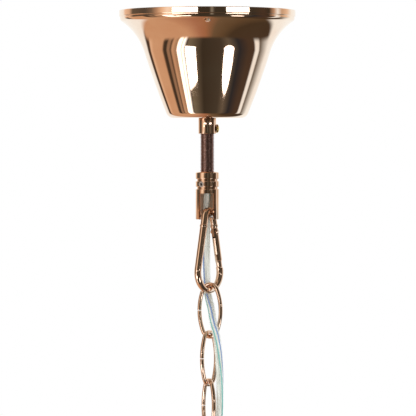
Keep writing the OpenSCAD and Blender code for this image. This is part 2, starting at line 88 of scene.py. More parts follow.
CANOPY_R, CANOPY_T = 62, 1
CANOPY_FOOT = low_high("canopy")[0].z
RIM_H, RIM_STEP, RIM_GROOVE = 4.6, 0.6, 0.8
RIM_ROUND, RIM_ROUND_MIDDLE = 0.38, 0.11    # the rounded top edge, and the point half way round it
SHOULDER_R, FLARE_R, FOOT_ROUND = 3.2, 40, 6
FLARE_LEAN, CONE_LEAN, BARREL = 56, 19.5, 2
STEM_R, STEM_BORE_R, THREAD_PITCH = 5, 3.9, 1
SLIP = 0.05             # air between the stem and what sits on it
COLLAR_SCREW_R, COLLAR_SCREW_HEAD_R = 1.5, 3
collar_low, collar_high = low_high("collar")
coupling_low, coupling_high = low_high("hook_coupling")
COUPLING_R, COUPLING_BORE_R = 8.3, 6.95
WINDOW_H, WINDOW_LEFT, WINDOW_RIGHT = 18.2, 44.6, 34.2
GROOVES, GROOVE_W, GROOVE_DEEP = (5.7, 11.2), 1.3, 0.9
SET_SCREW_R, SET_SCREW_DROP, SET_SCREW_SIDE = 2, 8.7, 32

HOOK_X, HOOK_Y, HOOK_TURN = 1.1, -3, 52
BAR_R, TOP_BEND_R, LOW_BEND_R = 2.5, 4.5, 12.5
hook_low, hook_high = low_high("carabiner_body")
TOP_BEND_Z = hook_high.z - BAR_R - TOP_BEND_R
LOW_BEND_Z = hook_low.z + BAR_R + LOW_BEND_R
BEND_GAP = TOP_BEND_Z - LOW_BEND_Z
LEG_LEAN = math.asin((LOW_BEND_R - TOP_BEND_R) / BEND_GAP)
LEG_LEN = math.sqrt(BEND_GAP ** 2 - (LOW_BEND_R - TOP_BEND_R) ** 2)
GATE_START, GATE_LEN, END_AIR = 8.7, 23, 0.3
GATE_END = GATE_START + GATE_LEN
RIVET_AT = GATE_START + BAR_R + 0.2
TONGUE_REACH, LATCH_REACH = 3.9, 4.2

WIRE_R, LINK_R, LINK_HALF, LINK_END_R, LINK_GAP = 1.5, 8.5, 18.35, 6, 0.3
LINK_END_Z = LINK_HALF - LINK_END_R
LINK_AIR = 0.03         # keeps neighbouring links off each other at the ends of their swing
LINK_SIDE_R = (LINK_R ** 2 + LINK_END_Z ** 2 - LINK_END_R ** 2) / (2 * (LINK_R - LINK_END_R))
# Each link's turn about the vertical, in degrees, and the x and y that it hangs at.
LINKS = {
    "chain_link_1": (-30, 1.9, -2.1),
    "chain_link_2": (55, 1.2, -1.7),
    "chain_link_3": (-65, 0.95, -2.05),
}

CABLE_R = 2.75
CORE_R = 1.0
CABLE_ROUTE = [
    (0, 0, -8), (0, 0, -20), (0, 0, -40), (0, 0, -60), (0, 0, -80), (0, 0, -100),
    (0, 0, -115), (0, 0.6, -122), (-0.2, 2.8, -130), (-0.6, 4, -137), (-0.6, 4.1, -147),
    (-0.5, 4.3, -160), (-0.5, 4.6, -175), (-0.3, 4.8, -187), (0, 4.6, -194.5), (1.1, 2.2, -201),
    (2.2, -1.6, -206), (3.1, -4.9, -210.5), (3.7, -7.4, -215), (4.5, -9, -219.5), (5.7, -10, -224),
    (6.8, -10.5, -230), (7.6, -10.2, -237), (8.2, -9.2, -246), (8.6, -7.8, -256), (8.6, -6.2, -268),
    (8.3, -4.9, -280), (7.2, -3.7, -292), (5, -2.9, -302), (2.2, -2.4, -309), (0.7, -2.3, -315),
    (0.6, -2.3, -320), (0.6, -2.3, -326),
]
SLEEVE_Z = -32.8
CORE_ROUTES = {
    "core_live": [
        (0.6, -1.1, -8), (0.6, -1.1, -6.5), (1, -1.8, -4.8), (4, -5.5, -3.4), (12, -13, -5),
        (22, -16, -14), (29, -15, -26), (30, -10.6, SLEEVE_Z), (27.5, -9, SLEEVE_Z),
        (25, -9, SLEEVE_Z),
    ],
    "core_neutral": [
        (0.6, 1.1, -8), (0.6, 1.1, -6.5), (1, 1.8, -4.8), (4, 5.5, -3.4), (12, 13, -5),
        (22, 16, -14), (29, 15, -26), (30, 10.6, SLEEVE_Z), (27.5, 9, SLEEVE_Z),
        (25, 9, SLEEVE_Z),
    ],
    "core_earth": [
        (-1.2, 0, -8), (-1.2, 0, -6.5), (-1.8, 0.7, -4.8), (-5, 6, -3.6), (-6, 13, -8),
        (0, 15.6, -20), (5, 11, -31), (7.6, 3, SLEEVE_Z), (10, 0, SLEEVE_Z), (12, 0, SLEEVE_Z),
    ],
}


# ---------------------------------------------------------------- material building

class Nodes:
    """Short hands for one material's node tree."""

    def __init__(self, name):
        self.material = bpy.data.materials.new(name)
        self.material.use_nodes = True
        self.tree = self.material.node_tree
        self.shader = self.tree.nodes["Principled BSDF"]
        self.place = self.add("ShaderNodeTexCoord").outputs["Object"]

    def add(self, kind, **settings):
        node = self.tree.nodes.new(kind)
        for key, value in settings.items():
            setattr(node, key, value)
        return node

    def link(self, source, target):
        self.tree.links.new(source, target)

    def set(self, **values):
        for key, value in values.items():
            self.shader.inputs[key.replace("_", " ")].default_value = value

    def stretched(self, scale, turn=(0, 0, 0)):
        mapping = self.add("ShaderNodeMapping")
        mapping.inputs["Scale"].default_value = scale
        mapping.inputs["Rotation"].default_value = turn
        self.link(self.place, mapping.inputs["Vector"])
        return mapping.outputs["Vector"]

    def noise(self, vector, scale, detail=4, rough=0.55):
        noise = self.add("ShaderNodeTexNoise")
        noise.inputs["Scale"].default_value = scale
        noise.inputs["Detail"].default_value = detail
        noise.inputs["Roughness"].default_value = rough
        self.link(vector, noise.inputs["Vector"])
        return noise.outputs["Fac"]

    def ramp(self, source, stops):
        ramp = self.add("ShaderNodeValToRGB")
        elements = ramp.color_ramp.elements
        while len(elements) < len(stops):
            elements.new(0.5)
        for element, (at, colour) in zip(elements, stops):
            element.position = at
            element.color = (*colour, 1)
        self.link(source, ramp.inputs["Fac"])
        return ramp.outputs["Color"]

    def spread(self, source, low, high):
        """The source's 0.3 to 0.7 stretched to low and high."""
        fit = self.add("ShaderNodeMapRange")
        fit.inputs["From Min"].default_value = 0.3
        fit.inputs["From Max"].default_value = 0.7
        fit.inputs["To Min"].default_value = low
        fit.inputs["To Max"].default_value = high
        self.link(source, fit.inputs["Value"])
        return fit.outputs["Result"]

    def mix(self, fac, a, b):
        mix = self.add("ShaderNodeMix", data_type="RGBA")
        for source, socket in ((fac, mix.inputs[0]), (a, mix.inputs[6]), (b, mix.inputs[7])):
            if hasattr(source, "links"):
                self.link(source, socket)
            elif isinstance(source, (int, float)):
                socket.default_value = source
            else:
                socket.default_value = (*source, 1)
        return mix.outputs[2]

    def bump(self, height, strength, distance, under=None):
        bump = self.add("ShaderNodeBump")
        bump.inputs["Strength"].default_value = strength
        bump.inputs["Distance"].default_value = distance
        self.link(height, bump.inputs["Height"])
        if under is not None:
            self.link(under, bump.inputs["Normal"])
        return bump.outputs["Normal"]

    def finish(self, colour, roughness, normal):
        """Link what the surface reads, and give the material."""
        for source, name in ((colour, "Base Color"), (roughness, "Roughness"), (normal, "Normal")):
            self.link(source, self.shader.inputs[name])
        return self.material


ROSE = (0.88, 0.67, 0.52)
ROSE_DEEP = (0.83, 0.58, 0.43)


def polished_copper(name, scratch_scale, roughness=0.05, deep=ROSE_DEEP, bump=0.1, wave=0.0):
    """Rose gold plate: fine scratches, slow waves, slight colour drift and haze."""
    n = Nodes(name)
    n.set(Metallic=1.0, Specular_Tint=(1.0, 0.95, 0.9, 1))
    lines = n.noise(n.stretched(scratch_scale), 1.0, detail=6, rough=0.7)
    cloud = n.noise(n.place, 55, detail=3)
    colour = n.mix(n.spread(cloud, 0.0, 1.0), ROSE, deep)
    haze = n.spread(n.noise(n.place, 240, detail=5), roughness * 0.7, roughness * 1.5)
    surface = n.bump(lines, bump, 0.00002)
    if wave:
        surface = n.bump(n.noise(n.place, 45, detail=2), wave, 0.0005, under=surface)
    return n.finish(colour, haze, surface)


def lit_bore_copper():
    """Inside of a drilled part, plated over tool marks, so rougher than the outside; its colour is
    lifted lighter and its metal mostly made diffuse, a painted light in the shaded bore.
    """
    n = Nodes("lit_bore_copper")
    n.set(Metallic=0.15)
    marks = n.noise(n.stretched((60, 60, 2600)), 1.0, detail=5, rough=0.7)
    return n.finish(n.mix(n.spread(marks, 0, 1), (0.96, 0.72, 0.54), (0.86, 0.60, 0.43)),
                    n.spread(marks, 0.4, 0.55), n.bump(marks, 0.4, 0.00006))


def threaded_copper():
    """Plate on a cut thread: darker and rougher than on a polished part."""
    n = Nodes("threaded_copper")
    n.set(Metallic=1.0)
    grain = n.noise(n.place, 900, detail=5)
    return n.finish(n.mix(n.spread(grain, 0, 1), (0.50, 0.35, 0.31), (0.34, 0.23, 0.21)),
                    n.spread(grain, 0.26, 0.40), n.bump(grain, 0.1, 0.0001))


def plain_metal(name, bright, dark, roughness):
    """Zinc plate, brass or steel: brushed grain, blotches and fine dents."""
    n = Nodes(name)
    n.set(Metallic=1.0)
    grain = n.noise(n.stretched((400, 400, 60)), 1.0, detail=5, rough=0.65)
    blotch = n.noise(n.place, 120, detail=4)
    return n.finish(n.mix(n.spread(blotch, 0, 1), bright, dark),
                    n.spread(grain, roughness * 0.75, roughness * 1.4), n.bump(grain, 0.2, 0.00006))


def clear_jacket():
    """Clear soft PVC, a little milky and green-grey, with slow waves along its surface."""
    n = Nodes("clear_jacket")
    n.set(Alpha=0.24, IOR=1.45, Coat_Weight=0.4, Coat_Roughness=0.12)
    wave = n.noise(n.stretched((420, 420, 50)), 1.0, detail=4)
    return n.finish(n.mix(n.spread(wave, 0, 1), (0.86, 0.90, 0.86), (0.70, 0.74, 0.68)),
                    n.spread(wave, 0.14, 0.3), n.bump(wave, 0.3, 0.0002))


def moulded(name, colour, other, roughness, scatter=0.0):
    """Moulded or extruded plastic with soft mottling and a fine surface grain."""
    n = Nodes(name)
    n.set(IOR=1.48)
    if scatter:
        n.set(Subsurface_Weight=scatter, Subsurface_Scale=0.002)
    mottle = n.noise(n.place, 180, detail=4)
    grain = n.noise(n.place, 2200, detail=3)
    return n.finish(n.mix(n.spread(mottle, 0, 1), colour, other),
                    n.spread(grain, roughness * 0.8, roughness * 1.3), n.bump(grain, 0.15, 0.00005))


def tinned_strands():
    """Tinned strands in clear insulation: fine slanted grey and silver lines in a milky white."""
    n = Nodes("tinned_strands")
    strands = n.noise(n.stretched((800, 800, 36), turn=(0.08, 0.06, 0)), 1.0, detail=4, rough=0.7)
    greys = [(0.3, (0.50, 0.52, 0.46)), (0.5, (0.74, 0.76, 0.71)), (0.65, (0.90, 0.91, 0.88))]
    return n.finish(n.ramp(strands, greys), n.spread(strands, 0.45, 0.25),
                    n.bump(strands, 0.5, 0.0002))


SPUN = (14, 14, 4200)
MATERIALS = {
    "canopy": polished_copper("canopy_copper", SPUN, roughness=0.045, bump=0.07, wave=0.015),
    "turned": polished_copper("turned_copper", (30, 30, 3000),
                              roughness=0.06, deep=(0.78, 0.54, 0.40), bump=0.06),
    "bar": polished_copper("drawn_copper", (160, 160, 60),
                           roughness=0.07, deep=(0.80, 0.56, 0.42), bump=0.02),
    "wire": polished_copper("wire_copper", (200, 200, 80),
                            roughness=0.10, deep=(0.80, 0.57, 0.44), bump=0.02),
    # painted light: lighter, mostly diffuse copper for the shaded bore
    "bore": lit_bore_copper(),
    "thread": threaded_copper(),
    "steel": plain_metal("zinc_steel", (0.66, 0.66, 0.68), (0.50, 0.50, 0.54), 0.28),
    "dark_steel": plain_metal("set_screw_steel", (0.60, 0.60, 0.60), (0.38, 0.38, 0.40), 0.22),
    "brass": plain_metal("bright_brass", (0.86, 0.62, 0.24), (0.72, 0.48, 0.16), 0.16),
    "jacket": clear_jacket(),
    "strands": tinned_strands(),
    "blue": moulded("blue_core", (0.005, 0.13, 0.50), (0.01, 0.18, 0.60), 0.35),
    "teal": moulded("green_core", (0.0, 0.38, 0.36), (0.02, 0.46, 0.43), 0.35),
    "brown": moulded("brown_core", (0.16, 0.07, 0.03), (0.22, 0.10, 0.045), 0.4),
    "nylon": moulded("natural_nylon", (0.80, 0.80, 0.76), (0.72, 0.72, 0.68), 0.38, scatter=0.2),
    "white_nylon": moulded("white_nylon", (0.84, 0.84, 0.82), (0.78, 0.78, 0.76), 0.45,
                           scatter=0.15),
    "floor": moulded("floor_paint", (0.80, 0.79, 0.77), (0.76, 0.75, 0.73), 0.7),
}


# ---------------------------------------------------------------- mesh building

SHARP = math.radians(28)    # an edge that turns by more than this is a crease
WELD = 2e-6                 # points nearer than this, in metres, are one


def finish_mesh(bm, name, material, body, stands_for):
    """Turn a bmesh into a piece: smooth faces, sharp creases, material and body."""
    bmesh.ops.remove_doubles(bm, verts=bm.verts, dist=WELD)
    bmesh.ops.recalc_face_normals(bm, faces=bm.faces)
    for face in bm.faces:
        face.smooth = True
    for edge in bm.edges:
        if len(edge.link_faces) == 2 and edge.calc_face_angle() > SHARP:
            edge.smooth = False
    mesh = bpy.data.meshes.new(name)
    bm.to_mesh(mesh)
    bm.free()
    piece = bpy.data.objects.new(name, mesh)
    scene.collection.objects.link(piece)
    mesh.materials.append(MATERIALS[material])
    if body:
        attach(piece, body)
    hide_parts(*stands_for)
    return piece


def lathe(bm, outline, segments, closed=True):
    """Spin an outline of (radius, height) points about the Z axis."""
    verts = [bm.verts.new(mm(r, 0, z)) for r, z in outline]
    edges = [bm.edges.new(pair) for pair in zip(verts, verts[1:])]
    if closed:
        edges.append(bm.edges.new((verts[-1], verts[0])))
    bmesh.ops.spin(bm, geom=verts + edges, cent=(0, 0, 0), axis=UP, angle=2 * math.pi,
                   steps=segments, use_merge=True, use_duplicate=False)
    return bm


def moved(bm, matrix):
    bmesh.ops.transform(bm, matrix=matrix, verts=bm.verts)


def edges_of(made):
    return [g for g in made if isinstance(g, bmesh.types.BMEdge)]


def verts_of(made):
    return [g for g in made if isinstance(g, bmesh.types.BMVert)]


def ring(bm, radius, centre, heading, sides=32):
    """A circle of edges round heading."""
    made = bmesh.ops.create_circle(bm, cap_ends=False, radius=radius * MM, segments=sides)
    face_to = Vector(heading).normalized().to_track_quat("Z", "Y").to_matrix().to_4x4()
    bmesh.ops.transform(bm, matrix=Matrix.Translation(centre) @ face_to, verts=made["verts"])
    return list({e for v in made["verts"] for e in v.link_edges})


def straight(bm, edges, step, cuts=1):
    """Pull a ring of edges along step, in a number of cuts."""
    for _ in range(cuts):
        made = bmesh.ops.extrude_edge_only(bm, edges=edges)["geom"]
        bmesh.ops.translate(bm, verts=verts_of(made), vec=step / cuts)
        edges = edges_of(made)
    return edges


def bend(bm, edges, centre, axis, degrees, steps):
    """Turn a ring of edges about an axis."""
    verts = list({v for e in edges for v in e.verts})
    made = bmesh.ops.spin(bm, geom=verts + list(edges), cent=centre, axis=axis,
                          angle=math.radians(degrees), steps=steps, use_duplicate=False)
    return edges_of(made["geom_last"])


def cap(bm, edges):
    return bmesh.ops.contextual_create(bm, geom=list(edges))["faces"]


def round_end(bm, edges, centre, heading, radius, length):
    """Close a bar's end with a short rounded shoulder and a flat."""
    heading = Vector(heading).normalized()
    for share in (0.35, 0.7, 1.0):
        angle = share * math.pi / 2
        made = bmesh.ops.extrude_edge_only(bm, edges=edges)["geom"]
        for v in verts_of(made):
            out = v.co - centre
            out -= heading * out.dot(heading)
            out.normalize()
            v.co = (centre + heading * length * MM * math.sin(angle)
                    + out * (radius - length * (1 - math.cos(angle))) * MM)
        edges = edges_of(made)
    cap(bm, edges)


def domed_screw(bm, shank_r, length, head_r, head_h):
    """Screw along +Z with a plain domed head, whose underside is at z = 0."""
    wall = 0.35             # share of the head's height below the dome
    outline = [(0, -length), (shank_r, -length), (shank_r, 0), (head_r, 0), (head_r, head_h * wall)]
    outline += [(head_r * math.cos(a), head_h * (wall + (1 - wall) * math.sin(a)))
                for a in (k * math.pi / 16 for k in range(1, 8))]
    outline += [(0, head_h)]
    lathe(bm, outline, 48, closed=False)


def evaluated_mesh(piece):
    """A new mesh of the piece as it looks, with its modifiers or its bevel."""
    bpy.context.view_layer.update()
    depsgraph = bpy.context.evaluated_depsgraph_get()
    return bpy.data.meshes.new_from_object(piece.evaluated_get(depsgraph))


def cut_with(piece, cutter_bm):
    """Cut one closed shape out of a piece and keep the result as its mesh."""
    mesh = bpy.data.meshes.new("cutter")
    bmesh.ops.recalc_face_normals(cutter_bm, faces=cutter_bm.faces)
    cutter_bm.to_mesh(mesh)
    cutter_bm.free()
    cutter = bpy.data.objects.new("cutter", mesh)
    scene.collection.objects.link(cutter)
    modifier = piece.modifiers.new("cut", "BOOLEAN")
    modifier.operation = "DIFFERENCE"
    modifier.solver = "EXACT"
    modifier.object = cutter
    result = evaluated_mesh(piece)
    piece.modifiers.clear()
    piece.data = result
    bpy.data.objects.remove(cutter)
    return piece


def resharpen(piece):
    """Mark creases again after a cut."""
    bm = bmesh.new()
    bm.from_mesh(piece.data)
    for face in bm.faces:
        face.smooth = True
    for edge in bm.edges:
        edge.smooth = not (len(edge.link_faces) == 2 and edge.calc_face_angle() > SHARP)
    bm.to_mesh(piece.data)
    bm.free()


# ---------------------------------------------------------------- cables first

def smooth_route(points, steps):
    """A smooth curve through the points, in metres."""
    pts = [mm(*p) for p in points]
    path = []
    for i in range(len(pts) - 1):
        p0, p1 = pts[max(i - 1, 0)], pts[i]
        p2, p3 = pts[i + 1], pts[min(i + 2, len(pts) - 1)]
        for k in range(steps):
            t = k / steps
            path.append(0.5 * (2 * p1 + (p2 - p0) * t + (2 * p0 - 5 * p1 + 4 * p2 - p3) * t * t
                               + (3 * p1 - p0 - 3 * p2 + p3) * t ** 3))
    path.append(pts[-1])
    return path


def headings(path):
    ends = [path[0]] + path + [path[-1]]
    return [(ends[i + 2] - ends[i]).normalized() for i in range(len(path))]


def carried_frames(path, spoke=Vector((0, 1, 0))):
    """For each point of the path, two directions square to it that never twist."""
    frames = []
    for along in headings(path):
        spoke = (spoke - spoke.dot(along) * along).normalized()
        frames.append((spoke, along.cross(spoke)))
    return frames


def tube_mesh(name, points, radius, around):
    """A closed round tube along the points, as a bmesh."""
    line = bpy.data.curves.new(name + "_line", "CURVE")
    line.dimensions = "3D"
    line.bevel_depth = radius * MM
    line.bevel_resolution = around
    line.use_fill_caps = True
    spline = line.splines.new("POLY")
    spline.points.add(len(points) - 1)
    for knot, place in zip(spline.points, points):
        knot.co = (*place, 1)
    holder = bpy.data.objects.new(name + "_line", line)
    scene.collection.objects.link(holder)
    mesh = evaluated_mesh(holder)
    bm = bmesh.new()
    bm.from_mesh(mesh)
    bpy.data.objects.remove(holder)
    bpy.data.meshes.remove(mesh)
    return bm


cable_path = smooth_route(CABLE_ROUTE, 6)
cable_frames = carried_frames(cable_path)


def nearest_index(z):
    return min(range(len(cable_path)), key=lambda i: abs(cable_path[i].z - z * MM))


LAY_TURN, LAY_FROM = 2.2, -224      # degrees of lay a millimetre, and the height they count from


def laid_core(phase, offset):
    """The line of one core inside the jacket, laid round the cable's own line."""
    line = []
    for centre, (spoke, side) in zip(cable_path, cable_frames):
        a = math.radians(phase + LAY_TURN * (centre.z / MM - LAY_FROM))
        line.append(centre + (spoke * math.cos(a) + side * math.sin(a)) * offset * MM)
    return line


# The cable in four stretches, each across one joint: its name, the heights it runs between, the
# bodies at its two ends, and the heights that its blend runs between.
STRETCHES = [
    ("stem", -8, -165, "fixture", "snap_hook", -128, -163),
    ("hook", -165, -205.5, "snap_hook", "link_1", -188, -203),
    ("upper_link", -205.5, -239, "link_1", "link_2", -218, -235),
    ("lower_link", -239, -326, "link_2", "link_3", -250, -272),
]
# Material, line and radius of what runs inside the jacket.
CORE_LINES = {
    "blue": ("blue", laid_core(155, 2.1), 0.5),
    "teal": ("teal", laid_core(215, 2.1), 0.5),
    "first_strands": ("strands", laid_core(185, 1.25), 1.15),
    "second_strands": ("strands", laid_core(305, 1.25), 1.15),
    "third_strands": ("strands", laid_core(65, 1.25), 1.15),
}
for part, z_from, z_to, body_a, body_b, blend_from, blend_to in STRETCHES:
    first, last = nearest_index(z_from), nearest_index(z_to)
    line = cable_path[first:last + 1]
    name = f"jacket_{part}"
    jacket = finish_mesh(tube_mesh(name, line, CABLE_R, 7), name, "jacket", None,
                         stands_for=("cable",))
    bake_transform(jacket)
    for core_name, (tone, core_line, core_radius) in CORE_LINES.items():
        name = f"{core_name}_{part}"
        core = finish_mesh(tube_mesh(name, core_line[first:last + 1], core_radius, 3), name, tone,
                           None, stands_for=("cable",))
        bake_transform(core)

for node, tone, slot_name in (("core_live", "brown", "core_brown"),
                              ("core_neutral", "blue", "core_blue"),
                              ("core_earth", "teal", "core_green")):
    line = smooth_route(CORE_ROUTES[node], 5)
    wire = finish_mesh(tube_mesh(node + "_wire", line, CORE_R, 3), node + "_wire", tone, "fixture",
                       stands_for=(node,))


# ---------------------------------------------------------------- canopy

def arc_from(start, radius, lean_a, lean_b, steps):
    """Points on an arc between two leans from vertical; a growing lean bulges outwards."""
    side = 1 if lean_b > lean_a else -1
    points = []
    for k in range(1, steps + 1):
        lean = math.radians(lean_a + (lean_b - lean_a) * k / steps)
        first = math.radians(lean_a)
        points.append((start[0] - side * radius * (math.cos(first) - math.cos(lean)),
                       start[1] - side * radius * (math.sin(lean) - math.sin(first))))
    return points


def bell_side(inset):
    """The bell from under the rim to its lower face, moved inwards by inset.

    Its side is very slightly barrelled.
    """
    start = (CANOPY_R - RIM_STEP - inset, -RIM_H - RIM_GROOVE)
    shoulder = arc_from(start, SHOULDER_R - inset, 0, FLARE_LEAN, 16)
    sweep = arc_from(shoulder[-1], FLARE_R + inset, FLARE_LEAN, CONE_LEAN - BARREL, 36)
    low_lean = CONE_LEAN + BARREL + 0.8
    low_sin = math.sin(math.radians(low_lean))
    foot_z = CANOPY_FOOT + FOOT_ROUND * (1 - low_sin) + inset * low_sin
    rise = low_sin - math.sin(math.radians(CONE_LEAN - BARREL))
    side = arc_from(sweep[-1], (sweep[-1][1] - foot_z) / rise, CONE_LEAN - BARREL, low_lean, 24)
    foot = arc_from(side[-1], FOOT_ROUND - inset, low_lean, 90, 16)
    return [start] + shoulder + sweep + side + foot


def make_canopy():
    hole = STEM_R + 0.4
    rim = [(CANOPY_R - CANOPY_T, 0), (CANOPY_R - RIM_ROUND, 0),
           (CANOPY_R - RIM_ROUND_MIDDLE, -RIM_ROUND_MIDDLE), (CANOPY_R, -RIM_ROUND),
           (CANOPY_R, -0.5), (CANOPY_R, -RIM_H + 0.75), (CANOPY_R, -RIM_H + 0.55),
           (CANOPY_R - 0.06, -RIM_H + 0.3), (CANOPY_R - 0.22, -RIM_H + 0.1),
           (CANOPY_R - 0.5, -RIM_H), (CANOPY_R - RIM_STEP, -RIM_H)]
    inside = bell_side(CANOPY_T)[::-1]
    hole_edge = [(hole + 0.1, CANOPY_FOOT), (hole, CANOPY_FOOT + 0.1),
                 (hole, CANOPY_FOOT + CANOPY_T)]
    rim_inside = [(CANOPY_R - RIM_STEP - CANOPY_T, -RIM_H + 0.6),
                  (CANOPY_R - CANOPY_T, -RIM_H + 1.2)]
    outline = rim + bell_side(0) + hole_edge + inside + rim_inside
    bm = lathe(bmesh.new(), outline, 256)
    return finish_mesh(bm, "canopy_shell", "canopy", "canopy", ("canopy",))


# ---------------------------------------------------------------- stem, collar and their screw

def make_stem():
    """Tube with a rolled thread along its whole length."""
    stem_low, stem_high = low_high("stem")
    root = STEM_R - 0.55
    tooth = [(root, 0), (root, 0.1), (STEM_R - 0.05, 0.42), (STEM_R - 0.05, 0.58), (root, 0.9)]
    count = math.ceil(stem_high.z - stem_low.z) + 4
    profile = [(r, stem_low.z - 2 + k * THREAD_PITCH + rise)
               for k in range(count) for r, rise in tooth[1:]]
    bm = bmesh.new()
    verts = [bm.verts.new(mm(r, 0, z)) for r, z in profile]
    edges = [bm.edges.new(pair) for pair in zip(verts, verts[1:])]
    steps = 40
    bmesh.ops.spin(bm, geom=verts + edges, cent=(0, 0, 0), axis=UP, angle=2 * math.pi, steps=steps,
                   dvec=(0, 0, THREAD_PITCH * MM / steps), use_duplicate=False)
    bmesh.ops.remove_doubles(bm, verts=bm.verts, dist=5e-6)
    for z, keep_below in ((stem_high.z, True), (stem_low.z, False)):
        bmesh.ops.bisect_plane(bm, geom=bm.verts[:] + bm.edges[:] + bm.faces[:],
                               plane_co=mm(0, 0, z), plane_no=UP if keep_below else -UP,
                               clear_outer=True)
    ends = {"top": stem_high.z, "bottom": stem_low.z}
    rims = {}
    for end, z in ends.items():
        rims[end] = [e for e in bm.edges if e.is_boundary
                     and all(abs(v.co.z - z * MM) < WELD for v in e.verts)]
    bores = {}
    for end, z in ends.items():
        bores[end] = ring(bm, STEM_BORE_R, mm(0, 0, z), UP, 64)
        bmesh.ops.bridge_loops(bm, edges=rims[end] + bores[end])
    bmesh.ops.bridge_loops(bm, edges=bores["top"] + bores["bottom"])
    return finish_mesh(bm, "stem_thread", "thread", "fixture", ("stem",))


def make_collar():
    low, high = collar_low.z, collar_high.z
    radius = collar_high.y
    inner = STEM_R + SLIP
    edge = [(0.45, 0), (0.15, 0.06), (0.03, 0.2), (0, 0.4)]
    outline = ([(inner, high)] + [(radius - a, high - b) for a, b in edge]
               + [(radius - a, low + b) for a, b in edge[::-1]] + [(inner, low)])
    collar = finish_mesh(lathe(bmesh.new(), outline, 128), "collar_ring", "turned", "collar",
                         ("collar",))
    hole = bmesh.new()
    hole_r = (COLLAR_SCREW_R + SLIP) * MM
    bmesh.ops.create_cone(hole, cap_ends=True, segments=32, radius1=hole_r, radius2=hole_r,
                          depth=8 * MM)
    screw_low, screw_high = low_high("collar_screw")
    middle = (screw_low.z + screw_high.z) / 2
    moved(hole, Matrix.Translation(mm(6, 0, middle)) @ Matrix.Rotation(math.pi / 2, 4, "Y"))
    resharpen(cut_with(collar, hole))
    return collar


def make_collar_screw():
    low, high = low_high("collar_screw")
    bm = bmesh.new()
    underside = collar_high.y + SLIP
    domed_screw(bm, COLLAR_SCREW_R, underside - low.x, COLLAR_SCREW_HEAD_R, high.x - underside)
    middle = (low.z + high.z) / 2
    moved(bm, Matrix.Translation(mm(underside, 0, middle)) @ Matrix.Rotation(math.pi / 2, 4, "Y"))
    return finish_mesh(bm, "collar_screw_dome", "brass", "collar_screw", ("collar_screw",))


# ---------------------------------------------------------------- coupling

def make_coupling():
    top, bottom = coupling_high.z, coupling_low.z
    outline = [(STEM_R + SLIP, top), (COUPLING_R - 0.8, top), (COUPLING_R - 0.1, top - 0.55),
               (COUPLING_R, top - 0.75), (COUPLING_R, top - 0.9)]
    half, lip = GROOVE_W / 2, 0.55
    turns = [k * math.pi / 12 for k in range(7)]
    for drop in GROOVES:
        above = [(COUPLING_R, top - drop + half + lip + 0.12)]
        above += [(COUPLING_R - lip * (1 - math.cos(a)),
                   top - drop + half + lip * (1 - math.sin(a))) for a in turns]
        below = [(r, 2 * (top - drop) - z) for r, z in above[::-1]]
        outline += above + [(COUPLING_R - GROOVE_DEEP, top - drop + half - 0.05),
                            (COUPLING_R - GROOVE_DEEP, top - drop - half + 0.05)] + below
    stem_end = low_high("stem")[0].z - 1
    outline += [(COUPLING_R, bottom + 0.6), (COUPLING_R - 0.12, bottom + 0.2),
                (COUPLING_R - 0.5, bottom), (COUPLING_BORE_R, bottom),
                (COUPLING_BORE_R, stem_end), (STEM_R + SLIP, stem_end)]
    coupling = finish_mesh(lathe(bmesh.new(), outline, 128), "coupling_body", "turned", "fixture",
                           ("hook_coupling",))
    far = 2 * COUPLING_R
    window = bmesh.new()
    left, right = math.radians(WINDOW_LEFT), math.radians(WINDOW_RIGHT)
    corners = [(0, 0), (-far * math.sin(left), -far * math.cos(left)), (0, -1.5 * far),
               (far * math.sin(right), -far * math.cos(right))]
    verts = [window.verts.new(mm(x, y, bottom - 1)) for x, y in corners]
    floor_face = bmesh.ops.contextual_create(window, geom=verts)["faces"]
    lifted = bmesh.ops.extrude_face_region(window, geom=floor_face)["geom"]
    bmesh.ops.translate(window, verts=verts_of(lifted), vec=mm(0, 0, WINDOW_H + 1))
    cut_with(coupling, window)
    screw_hole = bmesh.new()
    hole_r = (SET_SCREW_R + SLIP) * MM
    bmesh.ops.create_cone(screw_hole, cap_ends=True, segments=40, radius1=hole_r, radius2=hole_r,
                          depth=12 * MM)
    side = math.radians(-90 - SET_SCREW_SIDE)
    moved(screw_hole, Matrix.Translation(mm(0, 0, top - SET_SCREW_DROP))
          @ Matrix.Rotation(side, 4, "Z") @ Matrix.Translation(mm(8, 0, 0))
          @ Matrix.Rotation(math.pi / 2, 4, "Y"))
    cut_with(coupling, screw_hole)
    resharpen(coupling)
    # The bore's inside below the stem gets the lighter copper that paints light into its shade.
    coupling.data.materials.append(MATERIALS["bore"])
    for face in coupling.data.polygons:
        middle = Vector(face.center) / MM
        if math.hypot(middle.x, middle.y) < COUPLING_BORE_R + 0.03 and middle.z < stem_end - 0.01:
            face.material_index = 1
    return coupling


# ---------------------------------------------------------------- snap hook

def on_hook():
    """Places a shape made in the hook's own plane."""
    return (Matrix.Translation(mm(HOOK_X, HOOK_Y, TOP_BEND_Z))
            @ Matrix.Rotation(math.radians(HOOK_TURN), 4, "Z"))


LEG_DOWN = Vector((math.sin(LEG_LEAN), 0, -math.cos(LEG_LEAN)))


def leg_point(distance):
    """Point on the gate's leg, that far below the upper bend, in the hook's own plane."""
    leg_top = mm(TOP_BEND_R * math.cos(LEG_LEAN), 0, TOP_BEND_R * math.sin(LEG_LEAN))
    return leg_top + LEG_DOWN * distance * MM


def on_leg():
    """Places a shape whose Z runs down the gate's leg and whose X points out of the loop."""
    return Matrix.Translation(leg_point(0)) @ Matrix.Rotation(math.pi - LEG_LEAN, 4, "Y")


def tongue(bm, outline, thick):
    """A flat tongue from its outline along the leg."""
    verts = [bm.verts.new(mm(x, -thick / 2, z)) for x, z in outline]
    face = bmesh.ops.contextual_create(bm, geom=verts)["faces"]
    made = bmesh.ops.extrude_face_region(bm, geom=face)["geom"]
    new = verts_of(made)
    bmesh.ops.translate(bm, verts=new, vec=mm(0, thick, 0))
    bmesh.ops.transform(bm, matrix=on_leg(), verts=list(set(verts) | set(new)))


